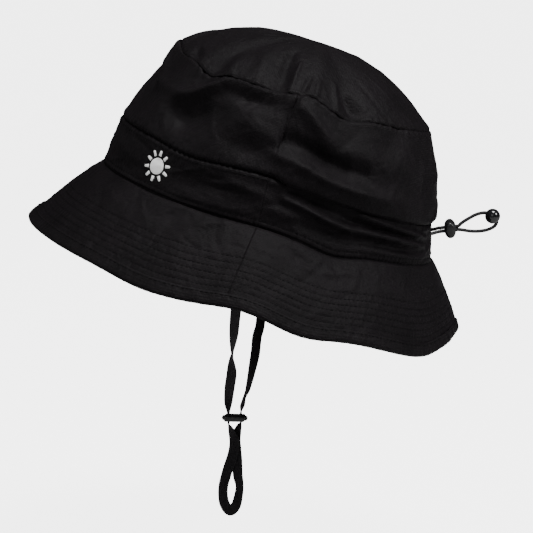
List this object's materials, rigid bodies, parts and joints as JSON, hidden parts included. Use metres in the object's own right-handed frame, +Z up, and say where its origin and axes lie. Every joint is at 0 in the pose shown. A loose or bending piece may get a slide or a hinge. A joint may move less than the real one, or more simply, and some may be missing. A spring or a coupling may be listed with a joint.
{
  "type": "bucket hat",
  "caption": "Soft black bucket hat with a quilted drooping brim, rear elastic drawcord with cord lock and bead, and a tape chin strap with slider.",
  "frame": {"origin": "middle of the head opening, where the brim is sewn to the band", "axes": "+Z is up on a level head, -Y is the wearer's front and +X the wearer's left; the hat is pitched 16.8 degrees, front up"},
  "size_m": [0.23, 0.2686, 0.2846],
  "materials": {
    "shell": "fine plain-weave microfibre, near black with a slight plum tint",
    "inner": "smooth black lining-weight cloth",
    "interlining": "grey non-woven stiffener, hidden in the brim",
    "binding": "black self-cloth edge strip",
    "elastic": "braided elastic cord",
    "tape": "woven flat tape",
    "lock_plastic": "satin black moulded plastic",
    "bead_plastic": "polished black plastic",
    "steel": "bright spring wire",
    "thread": "white satin-stitch embroidery",
    "label": "blank pale woven label"
  },
  "bodies": {
    "hat": {"crown_tip": "shell", "crown_side_front": "shell", "crown_side_rear": "shell", "band_front": "shell", "band_rear_left": "shell", "band_rear_right": "shell", "band_rear_backing": "inner", "brim_top_front": "shell", "brim_top_rear": "shell", "brim_interlining_front": "interlining", "brim_interlining_rear": "interlining", "brim_under_front": "inner", "brim_under_rear": "inner", "brim_edge_binding": "binding", "sweatband": "inner", "care_label": "label", "emblem": "thread", "drawcord_channel_left": "elastic", "drawcord_channel_right": "elastic", "drawcord_neck_left": "elastic", "drawcord_neck_right": "elastic"},
    "cord_loop": {"drawcord_loop": "elastic", "cord_bead": "bead_plastic"},
    "cord_lock": {"cord_lock_housing": "lock_plastic", "cord_lock_spring": "steel"},
    "lock_plunger": {"cord_lock_plunger": "lock_plastic"},
    "chin_strap": {"chin_strap": "tape"},
    "chin_slider": {"chin_slider": "lock_plastic"}
  },
  "joints": [
    {"name": "drawcord_pull", "type": "slide", "parent": "hat", "child": "cord_loop", "axis": [0, 0.9925, 0.1219], "range_m": [0, 0.025], "stiffness_N_per_m": 80, "deforming": ["drawcord_neck_left", "drawcord_neck_right"]},
    {"name": "cord_lock_slide", "type": "slide", "parent": "cord_loop", "child": "cord_lock", "axis": [0, 0.9925, 0.1219], "range_m": [-0.003, 0.0008]},
    {"name": "cord_lock_press", "type": "slide", "parent": "cord_lock", "child": "lock_plunger", "axis": [0.9903, 0.017, -0.1381], "range_m": [0, 0.0011], "stiffness_N_per_m": 900, "deforming": ["cord_lock_spring"]},
    {"name": "chin_strap_swing", "type": "hinge", "parent": "hat", "child": "chin_strap", "pos_m": [0, -0.008, -0.001], "axis": [1, 0, 0], "range_deg": [-70, 45]},
    {"name": "chin_slider_slide", "type": "slide", "parent": "chin_strap", "child": "chin_slider", "axis": [0, 0, 1], "range_m": [-0.002, 0.003]}
  ]
}
